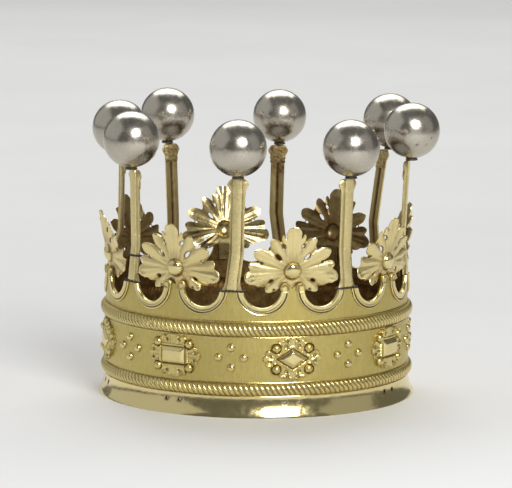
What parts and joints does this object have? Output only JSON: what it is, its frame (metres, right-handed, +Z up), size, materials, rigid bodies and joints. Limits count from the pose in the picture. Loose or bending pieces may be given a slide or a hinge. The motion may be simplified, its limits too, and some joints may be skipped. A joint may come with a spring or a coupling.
{
  "type": "ceremonial coronet",
  "caption": "Open silver-gilt coronet: a chased circlet with a scalloped crest, pierced leaves, and rays that carry silver balls.",
  "frame": {"origin": "middle of the circlet's underside, on the plane that the rim stands on", "axes": "+Z up along the circlet's axis; -Y towards the middle of leaf_1; leaves and rays are numbered anticlockwise seen from above"},
  "size_m": [0.205, 0.2048, 0.1755],
  "materials": {
    "gilt": "chased and partly matted silver gilt",
    "silver": "polished silver, slightly tarnished",
    "wire": "dark binding wire"
  },
  "bodies": {
    "root": {"circlet": "gilt", "leaf_1": "gilt", "ray_1": "gilt", "ball_1": "silver", "leaf_2": "gilt", "ray_2": "gilt", "ball_2": "silver", "leaf_3": "gilt", "ray_3": "gilt", "ball_3": "silver", "leaf_4": "gilt", "ray_4": "gilt", "ball_4": "silver", "leaf_5": "gilt", "ray_5": "gilt", "ball_5": "silver", "leaf_6": "gilt", "ray_6": "gilt", "ball_6": "silver", "leaf_7": "gilt", "ray_7": "gilt", "ball_7": "silver", "leaf_8": "gilt", "ray_8": "gilt", "ball_8": "silver", "binding_wire_1": "wire", "binding_wire_2": "wire", "binding_wire_3": "wire", "binding_wire_4": "wire"}
  },
  "joints": []
}
